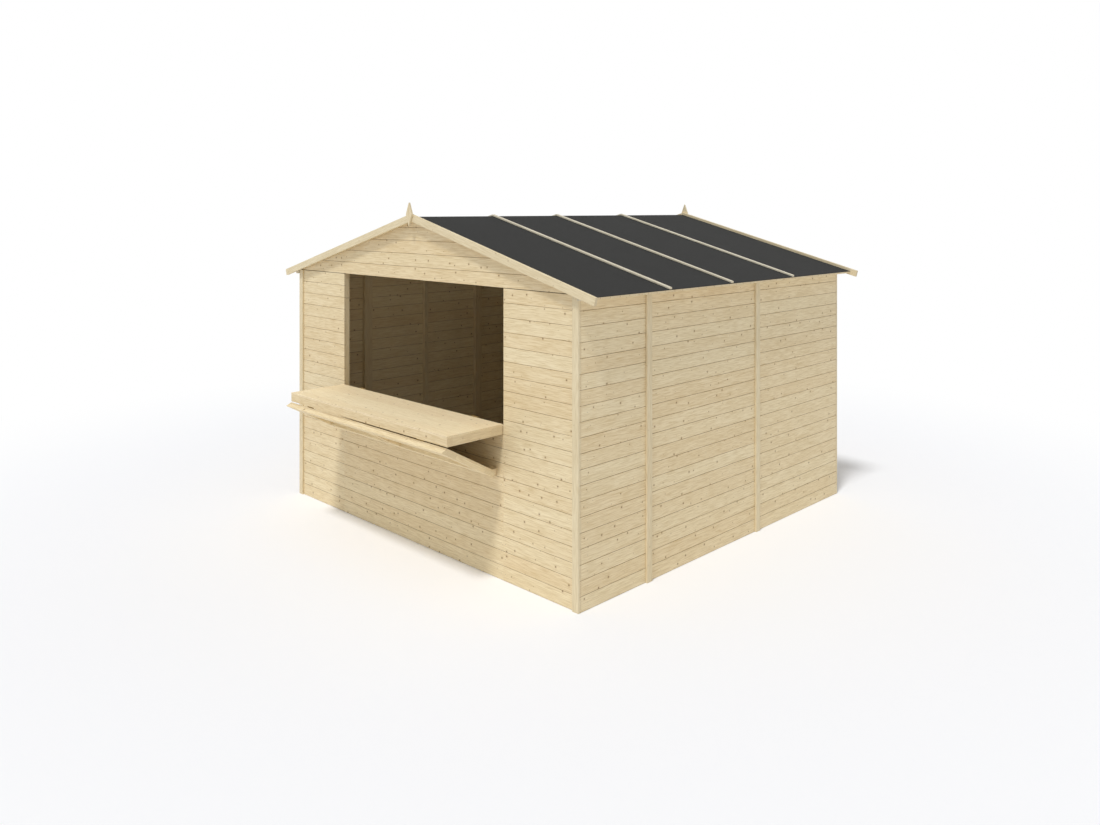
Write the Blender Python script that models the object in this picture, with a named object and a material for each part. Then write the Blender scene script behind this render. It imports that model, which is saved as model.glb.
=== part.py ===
"""Timber market stall: a clad apex kiosk with a serving hatch, a folding counter and its prop.

Units are metres, +Z is up and the serving side looks along -Y. Lengths are first worked out
in the stall's own plan, whose zero is the outer front left corner of the walls on the ground,
and every mesh is then shifted so that the origin lies under the middle of the whole stall.
"""

import math

import bmesh
import bpy
from mathutils import Vector

# Walls
WALL_WIDTH = 3.05
WALL_DEPTH = 3.005
COURSE = 0.0893
WALL_COURSES = 20
CLADDING = 0.012
STUD_WIDTH = 0.038
STUD_DEPTH = 0.033
STUD_SPACING = 0.61
SIDE_PANEL_JOINTS = (0.61, 1.83)
GABLE_SEAM = 0.003

# Serving hatch
HATCH_WIDTH = 1.776
HATCH_SILL = 0.937

# Roof
ROOF_PITCH = math.atan(0.2695)
SIDE_WALL_RISE = 0.006
ROOF_BOARD = 0.011
FELT = 0.003
EAVE_OVERHANG = 0.102
EAVE_STRIP_WIDTH = 0.030
EAVE_STRIP_DEPTH = 0.027
GABLE_OVERHANG = 0.025
RIDGE_BEAM_WIDTH = 0.038
RIDGE_BEAM_DEPTH = 0.070
PURLIN_WIDTH = 0.038
PURLIN_DEPTH = 0.044
PURLIN_SHARE = 0.5
ROOF_BATTEN_WIDTH = 0.025
ROOF_BATTEN_HEIGHT = 0.013
ROOF_BATTEN_PLACES = (0.705, 1.375, 2.157)

# Barge boards and finials
BARGE_THICKNESS = 0.020
BARGE_DROP = 0.050
BARGE_RISE = 0.020
BARGE_REACH = 0.160
FINIAL_THICKNESS = 0.014
FINIAL_HALF_WIDTH = 0.033
FINIAL_TOP = 0.076
FINIAL_WIDEST = 0.004
FINIAL_FOOT = 0.086

# Trims
CORNER_TRIM_WIDTH = 0.048
CORNER_TRIM = 0.012
TRIM_SHORT = 0.004
COVER_STRIP_WIDTH = 0.050
COVER_STRIP = 0.013

# Counter
COUNTER_RISE = 0.020
COUNTER_REACH = 0.438
COUNTER_TOP_BOARD = 0.012
COUNTER_FRAME = 0.051
COUNTER_REAR_RAIL = 0.090
COUNTER_STILE = 0.040
COUNTER_FRONT_RAIL = 0.040

# Prop
PROP_SLOPE = math.radians(29)
PROP_SET_BACK = 0.002
PROP_BOARD = 0.012
PROP_FRAME = 0.026
PROP_RAIL = 0.090
PROP_STILE = 0.072
PROP_BEVEL = math.radians(35)
PROP_WALL_CLEARANCE = 0.006
LEDGER_HEIGHT = 0.044
LEDGER_INSET = 0.060
LEDGER_DROP = 0.006
FOOT_CLEARANCE = 0.0065

# Hinges
HINGE_INSET = 0.260
HINGE_RADIUS = 0.003
HINGE_PLATE = 0.0018
SILL_PLATE_LENGTH = 0.050
PROP_PLATE_LENGTH = 0.036
HINGE_KNUCKLE = 0.024
KNUCKLE_GAP = 0.0005
KNUCKLE_SIDES = 16

TOUCH = 0.0003

# Worked out from the sizes above
WALL_TOP = COURSE * WALL_COURSES
MIDDLE = WALL_WIDTH / 2
HATCH_LEFT = MIDDLE - HATCH_WIDTH / 2
HATCH_RIGHT = MIDDLE + HATCH_WIDTH / 2
PITCH = math.tan(ROOF_PITCH)
WALL_THICKNESS = CLADDING + STUD_DEPTH
HINGE_GAP = 2 * (HINGE_RADIUS + TOUCH)
COUNTER_THICKNESS = COUNTER_TOP_BOARD + COUNTER_FRAME
COUNTER_TOP = HATCH_SILL + COUNTER_RISE
COUNTER_BOTTOM = COUNTER_TOP - COUNTER_THICKNESS
GABLE_BASE = WALL_TOP + GABLE_SEAM
ROOF_BUILD_UP = TOUCH + (ROOF_BOARD + TOUCH + FELT) / math.cos(ROOF_PITCH)
RIDGE_HEIGHT = WALL_TOP + SIDE_WALL_RISE + ROOF_BUILD_UP + MIDDLE * PITCH


def roof_drop(across):
    """Height lost from the ridge at a place across the stall."""
    return abs(across - MIDDLE) * PITCH


def felt_top(across):
    """Height of the finished roof surface."""
    return RIDGE_HEIGHT - roof_drop(across)


def board_top(across):
    """Height of the top of the roof boards."""
    return felt_top(across) - (FELT + TOUCH) / math.cos(ROOF_PITCH)


def board_underside(across):
    """Height of the underside of the roof boards."""
    return board_top(across) - ROOF_BOARD / math.cos(ROOF_PITCH)


def wall_seat(across):
    """Height where a wall stops, just under the roof boards."""
    return board_underside(across) - TOUCH


EAVE_STRIP_BOTTOM = wall_seat(WALL_WIDTH + TOUCH + EAVE_STRIP_WIDTH) - EAVE_STRIP_DEPTH
BARGE_FRONT = -GABLE_OVERHANG - TOUCH - BARGE_THICKNESS
FINIAL_FRONT = BARGE_FRONT - TOUCH - FINIAL_THICKNESS
COUNTER_AXIS = Vector((0, -HINGE_GAP / 2, COUNTER_TOP + HINGE_RADIUS + TOUCH))
PROP_AXIS = Vector((0, PROP_SET_BACK - COUNTER_REACH, COUNTER_BOTTOM - TOUCH - HINGE_RADIUS))
PROP_THICKNESS = PROP_BOARD + PROP_FRAME


def prop_point(along, deep):
    """A (depth, up) place on the prop: along its upper face from the hinge, and into it."""
    heading = Vector((math.cos(PROP_SLOPE), -math.sin(PROP_SLOPE)))
    inward = Vector((-math.sin(PROP_SLOPE), -math.cos(PROP_SLOPE)))
    start = Vector((PROP_AXIS.y, PROP_AXIS.z)) + inward * (HINGE_RADIUS + TOUCH)
    return start + heading * along + inward * deep


PROP_LENGTH = -PROP_AXIS.y - PROP_WALL_CLEARANCE
PROP_TIP = prop_point(-math.tan(PROP_BEVEL) * PROP_THICKNESS, PROP_THICKNESS).x
REAR_REACH = WALL_DEPTH - FINIAL_FRONT

ORIGIN = Vector((MIDDLE, (PROP_TIP + REAR_REACH) / 2, 0))


def clear_scene():
    """Empty the scene before modelling."""
    for item in list(bpy.data.objects):
        bpy.data.objects.remove(item, do_unlink=True)


def make_material(name, colour, roughness, metallic=0.0):
    """A plain finish for one kind of sub-part."""
    material = bpy.data.materials.new(name)
    material.use_nodes = True
    shader = material.node_tree.nodes["Principled BSDF"]
    shader.inputs["Base Color"].default_value = (*colour, 1.0)
    shader.inputs["Roughness"].default_value = roughness
    shader.inputs["Metallic"].default_value = metallic
    material.diffuse_color = (*colour, 1.0)
    return material


def add_prism(mesh, outline, along, start, end):
    """Extrude an outline of 3D corners from start to end along one axis of the plan."""
    unit = Vector([1.0 if axis == along else 0.0 for axis in "xyz"])
    corners = [mesh.verts.new(Vector(corner) + unit * start) for corner in outline]
    face = mesh.faces.new(corners)
    moved = bmesh.ops.extrude_face_region(mesh, geom=[face])["geom"]
    movers = [item for item in moved if isinstance(item, bmesh.types.BMVert)]
    bmesh.ops.translate(mesh, verts=movers, vec=unit * (end - start))


def front_prism(mesh, outline, start, end):
    """Extrude an outline of (across, up) corners along the depth."""
    add_prism(mesh, [(across, 0, up) for across, up in outline], "y", start, end)


def side_prism(mesh, outline, start, end):
    """Extrude an outline of (depth, up) corners across the stall."""
    add_prism(mesh, [(0, depth, up) for depth, up in outline], "x", start, end)


def add_box(mesh, low, high):
    """A square-edged piece of timber between two corners."""
    outline = [(low[0], low[2]), (high[0], low[2]), (high[0], high[2]), (low[0], high[2])]
    front_prism(mesh, outline, low[1], high[1])


def raise_faces(mesh, faces, height):
    """Extrude faces of a panel's middle plane to one side of it."""
    moved = bmesh.ops.extrude_face_region(mesh, geom=faces)["geom"]
    movers = [item for item in moved if isinstance(item, bmesh.types.BMVert)]
    bmesh.ops.translate(mesh, verts=movers, vec=Vector((0, 0, height)))


def panel_mesh(cells, skin, frame, place):
    """A clad panel in one piece: boarding all over, with frame members standing on its back.

    Each cell is an outline of (along, up) corners and a flag that is true on a frame member.
    Place turns (along, up, inward) into a point of the stall.
    """
    mesh = bmesh.new()
    corners = {}

    def corner(along, up):
        key = (round(along, 6), round(up, 6))
        if key not in corners:
            corners[key] = mesh.verts.new((along, up, 0))
        return corners[key]

    sheet = []
    members = []
    for outline, is_frame in cells:
        face = mesh.faces.new([corner(*point) for point in outline])
        sheet.append(face)
        if is_frame:
            members.append(face)
    raise_faces(mesh, sheet, -skin)
    raise_faces(mesh, members, frame)
    bmesh.ops.delete(mesh, geom=[face for face in members if face.is_valid], context="FACES")
    for vert in mesh.verts:
        vert.co = place(*vert.co)
    return mesh


def grid_cells(columns, rows):
    """Cells between column and row edges, where either of the two may be a frame member.

    Columns and rows are lists of (start, end, flag) stretches.
    """
    cells = []
    for left, right, column_flag in columns:
        for low, high, row_flag in rows:
            outline = [(left, low), (right, low), (right, high), (left, high)]
            cells.append((outline, column_flag is not None and (column_flag or row_flag)))
    return cells


def stretches(members, start, end):
    """Stretches from start to end that are frame members, given as (start, end), or gaps."""
    result = []
    reached = start
    for low, high in members:
        if low - reached > TOUCH:
            result.append((reached, low, False))
        result.append((low, high, True))
        reached = high
    if end - reached > TOUCH:
        result.append((reached, end, False))
    return result


def studs_between(start, end):
    """Studs of one panel: one at each end, and evenly spaced ones between."""
    bays = max(1, round((end - start) / STUD_SPACING))
    spacing = (end - start - STUD_WIDTH) / bays
    edges = [start + spacing * number for number in range(bays + 1)]
    return [(edge, edge + STUD_WIDTH) for edge in edges]


def wall_columns(clad_start, joints, clad_end, frame_start, frame_end):
    """Columns of a wall: its panels' studs, and boarding alone past the frame's ends."""
    edges = [frame_start, *joints, frame_end]
    studs = []
    for start, end in zip(edges, edges[1:]):
        studs.extend(studs_between(start, end))
    columns = stretches(studs, frame_start, frame_end)
    if frame_start > clad_start:
        columns.insert(0, (clad_start, frame_start, None))
    if frame_end < clad_end:
        columns.append((frame_end, clad_end, None))
    return columns


def wall_rows(top):
    """Rows of a wall: a rail at the ground and one at the top."""
    return stretches([(0, STUD_WIDTH), (top - STUD_WIDTH, top)], 0, top)


def finish_node(name, mesh, material, pivot=None):
    """Turn a mesh into a named sub-part; a moving one is parented to the pivot on its axis."""
    bmesh.ops.translate(mesh, verts=mesh.verts, vec=-ORIGIN)
    bmesh.ops.recalc_face_normals(mesh, faces=mesh.faces)
    data = bpy.data.meshes.new(name)
    mesh.to_mesh(data)
    mesh.free()
    data.materials.append(material)
    node = bpy.data.objects.new(name, data)
    bpy.context.collection.objects.link(node)
    if pivot is not None:
        data.transform(pivot.matrix_world.inverted())
        node.parent = pivot
    return node


def add_pivot(name, place, parent=None):
    """An empty on a hinge axis, which carries the pieces that turn there."""
    pivot = bpy.data.objects.new(name, None)
    bpy.context.collection.objects.link(pivot)
    world = place - ORIGIN
    if parent is None:
        pivot.location = world
    else:
        pivot.parent = parent
        pivot.location = world - parent.matrix_world.translation
    bpy.context.view_layer.update()
    return pivot


def mirror_across(across):
    """The matching place on the other half of the stall."""
    return WALL_WIDTH - across


def half_outline(outline, right):
    """An outline drawn for the right half, or its mirror on the left half."""
    if right:
        return outline
    return [(mirror_across(across), up) for across, up in outline]


def build_front_walls(timber):
    """Panels of the serving side, beside and below the hatch."""
    edge = CLADDING + TOUCH
    panels = {
        "front_wall_left": (0, HATCH_LEFT - TOUCH, edge, HATCH_LEFT - TOUCH, WALL_TOP),
        "front_wall_below_hatch": (HATCH_LEFT, HATCH_RIGHT, HATCH_LEFT, HATCH_RIGHT, HATCH_SILL),
        "front_wall_right": (
            HATCH_RIGHT + TOUCH,
            WALL_WIDTH,
            HATCH_RIGHT + TOUCH,
            WALL_WIDTH - edge,
            WALL_TOP,
        ),
    }

    def place(along, up, inward):
        return along, CLADDING + inward, up

    for name, (left, right, frame_left, frame_right, top) in panels.items():
        columns = wall_columns(left, (), right, frame_left, frame_right)
        mesh = panel_mesh(grid_cells(columns, wall_rows(top)), CLADDING, STUD_DEPTH, place)
        finish_node(name, mesh, timber)


def build_rear_wall(timber):
    """The closed wall at the back, framed as two panels."""
    edge = CLADDING + TOUCH

    def place(along, up, inward):
        return along, WALL_DEPTH - CLADDING - inward, up

    columns = wall_columns(0, (MIDDLE,), WALL_WIDTH, edge, WALL_WIDTH - edge)
    mesh = panel_mesh(grid_cells(columns, wall_rows(WALL_TOP)), CLADDING, STUD_DEPTH, place)
    finish_node("rear_wall", mesh, timber)


def build_side_walls(timber):
    """Side walls between the front and rear ones, framed as three panels, cut to the roof."""
    top = wall_seat(WALL_WIDTH)
    clad_end = CLADDING + TOUCH
    frame_end = WALL_THICKNESS + TOUCH
    columns = wall_columns(
        clad_end, SIDE_PANEL_JOINTS, WALL_DEPTH - clad_end, frame_end, WALL_DEPTH - frame_end
    )
    cells = grid_cells(columns, wall_rows(top))

    def right_place(along, up, inward):
        across = WALL_WIDTH - CLADDING - inward
        return across, along, up if up < top - TOUCH else wall_seat(across)

    def left_place(along, up, inward):
        across, depth, height = right_place(along, up, inward)
        return mirror_across(across), depth, height

    for name, place in (("left_wall", left_place), ("right_wall", right_place)):
        finish_node(name, panel_mesh(cells, CLADDING, STUD_DEPTH, place), timber)


def gable_cells():
    """Cells of a gable: a bottom rail, a king post, two raking rails and two bare panes."""
    edge = WALL_WIDTH - CLADDING - TOUCH
    rail = GABLE_BASE + STUD_WIDTH
    fall = STUD_WIDTH / math.cos(ROOF_PITCH)
    post = MIDDLE + STUD_WIDTH / 2
    heel = MIDDLE + (wall_seat(MIDDLE) - rail) / PITCH
    foot = heel - fall / PITCH
    apex = (MIDDLE, wall_seat(MIDDLE))
    apex_under = (MIDDLE, wall_seat(MIDDLE) - fall)
    shoulder = (post, wall_seat(post) - fall)
    half_rail = [(edge, GABLE_BASE), (edge, wall_seat(edge)), (heel, rail), (foot, rail), (post, rail)]
    mirrored = [(mirror_across(across), up) for across, up in reversed(half_rail)]
    cells = [
        (half_rail + mirrored, True),
        (
            [
                (post, rail),
                shoulder,
                apex_under,
                (mirror_across(post), shoulder[1]),
                (mirror_across(post), rail),
            ],
            True,
        ),
    ]
    rake = [(foot, rail), (heel, rail), apex, apex_under, shoulder]
    pane = [(post, rail), (foot, rail), shoulder]
    end = [
        (edge, GABLE_BASE),
        (WALL_WIDTH, GABLE_BASE),
        (WALL_WIDTH, wall_seat(WALL_WIDTH)),
        (edge, wall_seat(edge)),
    ]
    for right in (True, False):
        cells.append((half_outline(rake, right), True))
        cells.append((half_outline(pane, right), False))
        cells.append((half_outline(end, right), False))
    return cells


def build_gables(timber):
    """Front and rear gable panels."""

    def front_place(along, up, inward):
        return along, CLADDING + inward, up

    def rear_place(along, up, inward):
        return along, WALL_DEPTH - CLADDING - inward, up

    for name, place in (("front_gable", front_place), ("rear_gable", rear_place)):
        finish_node(name, panel_mesh(gable_cells(), CLADDING, STUD_DEPTH, place), timber)


def build_trims(timber):
    """Corner trims on the front and rear, and cover strips over the panel joints."""
    top = WALL_TOP + SIDE_WALL_RISE - TRIM_SHORT
    strip_top = EAVE_STRIP_BOTTOM - TOUCH
    half = COVER_STRIP_WIDTH / 2
    rear = WALL_DEPTH + TOUCH
    for side, left in (("left", 0), ("right", WALL_WIDTH - CORNER_TRIM_WIDTH)):
        right = left + CORNER_TRIM_WIDTH
        mesh = bmesh.new()
        add_box(mesh, (left, -TOUCH - CORNER_TRIM, 0), (right, -TOUCH, top))
        finish_node(f"front_corner_trim_{side}", mesh, timber)
        mesh = bmesh.new()
        add_box(mesh, (left, rear, 0), (right, rear + CORNER_TRIM, top))
        finish_node(f"rear_corner_trim_{side}", mesh, timber)
    mesh = bmesh.new()
    add_box(mesh, (MIDDLE - half, rear, 0), (MIDDLE + half, rear + COVER_STRIP, top))
    finish_node("rear_cover_strip", mesh, timber)
    outer = WALL_WIDTH + TOUCH
    spans = {"right": (outer, outer + COVER_STRIP), "left": (-TOUCH - COVER_STRIP, -TOUCH)}
    for side, (low, high) in spans.items():
        for place, joint in zip(("front", "rear"), SIDE_PANEL_JOINTS):
            mesh = bmesh.new()
            add_box(mesh, (low, joint - half, 0), (high, joint + half, strip_top))
            finish_node(f"{side}_cover_strip_{place}", mesh, timber)


def over_ridge(underside, thickness, stop):
    """Outline of a layer that runs over the ridge, from one eave stop to the other."""
    rise = thickness / math.cos(ROOF_PITCH)
    low = [(stop, underside(stop)), (stop, underside(stop) + rise)]
    mirrored = [(mirror_across(across), up) for across, up in reversed(low)]
    crown_top = (MIDDLE, underside(MIDDLE) + rise)
    return [*low, crown_top, *mirrored, (MIDDLE, underside(MIDDLE))]


def felt_underside(across):
    """Height of the underside of the felt."""
    return felt_top(across) - FELT / math.cos(ROOF_PITCH)


def batten_underside(across):
    """Height of the underside of the battens that hold the felt."""
    return felt_top(across) + TOUCH / math.cos(ROOF_PITCH)


def build_roof(timber, felt):
    """Boards, felt, ridge beam, purlins, eave strips and battens of both slopes."""
    near = -GABLE_OVERHANG
    far = WALL_DEPTH + GABLE_OVERHANG
    eave = WALL_WIDTH + EAVE_OVERHANG
    crown = MIDDLE + TOUCH / 2
    boards = [
        (crown, board_underside(crown)),
        (eave, board_underside(eave)),
        (eave, board_top(eave)),
        (crown, board_top(crown)),
    ]
    for side, right in (("left", False), ("right", True)):
        mesh = bmesh.new()
        front_prism(mesh, half_outline(boards, right), near, far)
        finish_node(f"roof_boards_{side}", mesh, timber)
        mesh = bmesh.new()
        add_eave_strip(mesh, right, near, far)
        finish_node(f"eave_strip_{side}", mesh, timber)
        mesh = bmesh.new()
        add_purlin(mesh, right)
        finish_node(f"purlin_{side}", mesh, timber)
    mesh = bmesh.new()
    front_prism(mesh, over_ridge(felt_underside, FELT, eave), near, far)
    finish_node("roof_felt", mesh, felt)
    outline = over_ridge(batten_underside, ROOF_BATTEN_HEIGHT, eave)
    half = ROOF_BATTEN_WIDTH / 2
    for number, middle in enumerate(ROOF_BATTEN_PLACES, 1):
        mesh = bmesh.new()
        front_prism(mesh, outline, middle - half, middle + half)
        finish_node(f"roof_batten_{number}", mesh, timber)
    mesh = bmesh.new()
    half = RIDGE_BEAM_WIDTH / 2
    seat = wall_seat(MIDDLE + half)
    beam = [
        (MIDDLE - half, seat - RIDGE_BEAM_DEPTH),
        (MIDDLE + half, seat - RIDGE_BEAM_DEPTH),
        (MIDDLE + half, seat),
        (MIDDLE, wall_seat(MIDDLE)),
        (MIDDLE - half, seat),
    ]
    front_prism(mesh, beam, WALL_THICKNESS + TOUCH, WALL_DEPTH - WALL_THICKNESS - TOUCH)
    finish_node("ridge_beam", mesh, timber)


def add_eave_strip(mesh, right, near, far):
    """A strip under the roof boards, on the outside of the wall and past both gables."""
    inner = WALL_WIDTH + TOUCH
    outer = inner + EAVE_STRIP_WIDTH
    outline = [
        (inner, EAVE_STRIP_BOTTOM),
        (outer, EAVE_STRIP_BOTTOM),
        (outer, wall_seat(outer)),
        (inner, wall_seat(inner)),
    ]
    front_prism(mesh, half_outline(outline, right), near, far)


def add_purlin(mesh, right):
    """A purlin square to the slope, between the two gable frames."""
    centre = MIDDLE + (WALL_WIDTH / 2) * PURLIN_SHARE
    along = Vector((math.cos(ROOF_PITCH), -math.sin(ROOF_PITCH)))
    down = Vector((-math.sin(ROOF_PITCH), -math.cos(ROOF_PITCH)))
    top = Vector((centre, wall_seat(centre)))
    outline = [
        top - along * PURLIN_WIDTH / 2 + down * PURLIN_DEPTH,
        top + along * PURLIN_WIDTH / 2 + down * PURLIN_DEPTH,
        top + along * PURLIN_WIDTH / 2,
        top - along * PURLIN_WIDTH / 2,
    ]
    corners = [(corner.x, corner.y) for corner in outline]
    front_prism(
        mesh, half_outline(corners, right), WALL_THICKNESS + TOUCH, WALL_DEPTH - WALL_THICKNESS - TOUCH
    )


def barge_outline():
    """Right-hand barge board: plumb cut at the apex, and cut square at its lower end."""
    end = WALL_WIDTH + BARGE_REACH
    crown = MIDDLE + TOUCH / 2
    back = BARGE_DROP * PITCH * math.cos(ROOF_PITCH) ** 2

    def top(across):
        return felt_top(across) + BARGE_RISE

    return [
        (crown, top(crown) - BARGE_DROP),
        (end - back, top(end - back) - BARGE_DROP),
        (end, top(end)),
        (crown, top(crown)),
    ]


def build_barges(timber):
    """A pair of barge boards and a finial at each gable."""
    apex = RIDGE_HEIGHT + BARGE_RISE
    finial = [
        (MIDDLE, apex - FINIAL_FOOT),
        (MIDDLE + FINIAL_HALF_WIDTH, apex - FINIAL_WIDEST),
        (MIDDLE, apex + FINIAL_TOP),
        (MIDDLE - FINIAL_HALF_WIDTH, apex - FINIAL_WIDEST),
    ]
    rear = WALL_DEPTH - BARGE_FRONT
    gables = {
        "front": (BARGE_FRONT, BARGE_FRONT + BARGE_THICKNESS, FINIAL_FRONT),
        "rear": (rear - BARGE_THICKNESS, rear, rear + TOUCH),
    }
    for name, (near, far, finial_near) in gables.items():
        for side, right in (("left", False), ("right", True)):
            mesh = bmesh.new()
            front_prism(mesh, half_outline(barge_outline(), right), near, far)
            finish_node(f"{name}_barge_board_{side}", mesh, timber)
        mesh = bmesh.new()
        front_prism(mesh, finial, finial_near, finial_near + FINIAL_THICKNESS)
        finish_node(f"{name}_finial", mesh, timber)


def build_ledger(timber):
    """The batten on the front wall that the foot of the prop bears against."""
    foot = prop_point(PROP_LENGTH, 0)
    top = foot.y - LEDGER_DROP
    mesh = bmesh.new()
    add_box(
        mesh,
        (HATCH_LEFT + LEDGER_INSET, foot.x + FOOT_CLEARANCE, top - LEDGER_HEIGHT),
        (HATCH_RIGHT - LEDGER_INSET, -TOUCH, top),
    )
    finish_node("prop_ledger", mesh, timber)


def leaf_columns(stile):
    """Columns of a folding leaf: a stile at each end and one in the middle."""
    middle = (HATCH_LEFT + HATCH_RIGHT - stile) / 2
    stiles = [
        (HATCH_LEFT, HATCH_LEFT + stile),
        (middle, middle + stile),
        (HATCH_RIGHT - stile, HATCH_RIGHT),
    ]
    return stretches(stiles, HATCH_LEFT, HATCH_RIGHT)


def build_counter(timber, pivot):
    """The folding counter: boarding on a frame of two rails and three stiles."""
    reach = COUNTER_REACH - HINGE_GAP
    rows = stretches([(0, COUNTER_REAR_RAIL), (reach - COUNTER_FRONT_RAIL, reach)], 0, reach)

    def place(along, out, below):
        return along, -HINGE_GAP - out, COUNTER_TOP - COUNTER_TOP_BOARD - below

    cells = grid_cells(leaf_columns(COUNTER_STILE), rows)
    mesh = panel_mesh(cells, COUNTER_TOP_BOARD, COUNTER_FRAME, place)
    finish_node("counter", mesh, timber, pivot)


def build_prop(timber, pivot):
    """The folding prop: boarding over a frame, its outer end bevelled under the counter."""
    rows = stretches(
        [(0, PROP_RAIL), (PROP_LENGTH - PROP_RAIL, PROP_LENGTH)], 0, PROP_LENGTH
    )
    lean = math.tan(PROP_BEVEL)

    def place(along, down, deep):
        depth = PROP_BOARD + deep
        bevel = lean * depth if down == 0 else 0
        point = prop_point(down - bevel, depth)
        return along, point.x, point.y

    cells = grid_cells(leaf_columns(PROP_STILE), rows)
    finish_node("prop", panel_mesh(cells, PROP_BOARD, PROP_FRAME, place), timber, pivot)


def hinge_directions(heading, side):
    """Unit vectors along a hinge plate and out to its fixed face, as (depth, up)."""
    along = Vector((math.cos(heading), math.sin(heading)))
    return along, Vector((-along.y, along.x)) * side


def hinge_outline(axis, length, heading, side):
    """Outline of a plate that runs into a knuckle, seen along the pin."""
    along, outward = hinge_directions(heading, side)
    centre = Vector((axis.y, axis.z))
    inner = HINGE_RADIUS - HINGE_PLATE
    turn = 1.5 * math.pi + math.asin(inner / HINGE_RADIUS)
    steps = [math.pi / 2 + turn * number / KNUCKLE_SIDES for number in range(KNUCKLE_SIDES + 1)]
    knuckle = [
        centre + (along * math.cos(step) + outward * math.sin(step)) * HINGE_RADIUS
        for step in steps
    ]
    tip = centre + along * length
    return [*knuckle, tip + outward * inner, tip + outward * HINGE_RADIUS]


def knuckle_gap_outline(axis, heading, side):
    """Outline of the room cut for the other plate's knuckles."""
    along, outward = hinge_directions(heading, side)
    centre = Vector((axis.y, axis.z))
    reach = HINGE_RADIUS + KNUCKLE_GAP
    sides = ((-reach, -reach), (reach, -reach), (reach, reach), (-reach, reach))
    return [centre + along * first + outward * second for first, second in sides]


def hinge_places():
    """Middles of the hinges along the counter, with the side each is on."""
    return {"left": HATCH_LEFT + HINGE_INSET, "right": HATCH_RIGHT - HINGE_INSET}


def add_cutter(target, outline, start, end):
    """Cut a prism out of a node with a Boolean, and keep the cutter as a wire guide."""
    mesh = bmesh.new()
    side_prism(mesh, outline, start, end)
    bmesh.ops.translate(mesh, verts=mesh.verts, vec=-ORIGIN)
    bmesh.ops.recalc_face_normals(mesh, faces=mesh.faces)
    data = bpy.data.meshes.new(target.name + "_cut")
    mesh.to_mesh(data)
    mesh.free()
    cutter = bpy.data.objects.new(data.name, data)
    bpy.context.collection.objects.link(cutter)
    cutter.hide_render = True
    cutter.display_type = "WIRE"
    if target.parent is not None:
        data.transform(target.parent.matrix_world.inverted())
        cutter.parent = target.parent
    modifier = target.modifiers.new("knuckle_room", "BOOLEAN")
    modifier.operation = "DIFFERENCE"
    modifier.solver = "EXACT"
    modifier.object = cutter


def hinge_plate(
    name, steel, axis, length, heading, side, middle, has_outer_knuckles, pivot=None
):
    """One plate with either the two outer knuckles or the middle one."""
    half = HINGE_KNUCKLE / 2
    outer = half + HINGE_KNUCKLE
    mesh = bmesh.new()
    outline = hinge_outline(axis, length, heading, side)
    side_prism(mesh, outline, middle - outer, middle + outer)
    node = finish_node(name, mesh, steel, pivot)
    room = knuckle_gap_outline(axis, heading, side)
    past = outer + HINGE_KNUCKLE
    near = half - KNUCKLE_GAP
    gaps = [(-half, half)] if has_outer_knuckles else [(-past, -near), (near, past)]
    for start, end in gaps:
        add_cutter(node, room, middle + start, middle + end)


def build_hinges(steel, counter_pivot, prop_pivot):
    """Butt hinges at the sill and under the front edge of the counter."""
    down = -math.pi / 2
    sill = (steel, COUNTER_AXIS, SILL_PLATE_LENGTH)
    edge = (steel, PROP_AXIS, PROP_PLATE_LENGTH)
    for where, middle in hinge_places().items():
        hinge_plate(f"sill_hinge_{where}", *sill, down, 1, middle, True)
        hinge_plate(f"counter_hinge_{where}", *sill, down, -1, middle, False, counter_pivot)
        hinge_plate(f"prop_hinge_upper_{where}", *edge, 0, 1, middle, True, counter_pivot)
        hinge_plate(
            f"prop_hinge_lower_{where}", *edge, -PROP_SLOPE, -1, middle, False, prop_pivot
        )


def main():
    """Build the whole stall."""
    clear_scene()
    timber = make_material("planed_softwood", (0.71, 0.57, 0.37), 0.65)
    felt = make_material("roofing_felt", (0.054, 0.056, 0.051), 0.95)
    steel = make_material("zinc_plated_steel", (0.45, 0.45, 0.44), 0.4, 0.9)
    counter_pivot = add_pivot("counter_pivot", COUNTER_AXIS + Vector((MIDDLE, 0, 0)))
    prop_pivot = add_pivot("prop_pivot", PROP_AXIS + Vector((MIDDLE, 0, 0)), counter_pivot)
    build_front_walls(timber)
    build_side_walls(timber)
    build_rear_wall(timber)
    build_gables(timber)
    build_trims(timber)
    build_roof(timber, felt)
    build_barges(timber)
    build_ledger(timber)
    build_counter(timber, counter_pivot)
    build_prop(timber, prop_pivot)
    build_hinges(steel, counter_pivot, prop_pivot)
    bpy.context.view_layer.update()


main()
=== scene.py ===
"""Looks of the timber market stall: boards, frames, roofing felt, hinges, light and camera.

Lengths are metres. Pieces are laid out in the stall's own plan, whose zero is the outer front
left corner of the walls on the ground: x to the right, y into the depth, z up.
"""

import math
import random

import bmesh
import bpy
from mathutils import Matrix, Vector


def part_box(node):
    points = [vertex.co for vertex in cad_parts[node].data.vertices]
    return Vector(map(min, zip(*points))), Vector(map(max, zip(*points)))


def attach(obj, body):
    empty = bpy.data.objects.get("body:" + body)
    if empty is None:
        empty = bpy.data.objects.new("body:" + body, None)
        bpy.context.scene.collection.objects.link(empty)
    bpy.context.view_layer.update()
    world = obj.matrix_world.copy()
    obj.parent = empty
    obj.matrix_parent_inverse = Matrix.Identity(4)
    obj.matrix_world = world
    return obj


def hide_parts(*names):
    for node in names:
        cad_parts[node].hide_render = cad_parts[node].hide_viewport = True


# Walls
COURSE = 0.0893
CLADDING = 0.012
CHAMFER_HEIGHT = 0.0022
CHAMFER_DEPTH = 0.0024
STUD_WIDTH = 0.038
STUD_DEPTH = 0.033
STUD_SPACING = 0.61
SIDE_PANEL_JOINTS = (0.61, 1.83)
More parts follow.
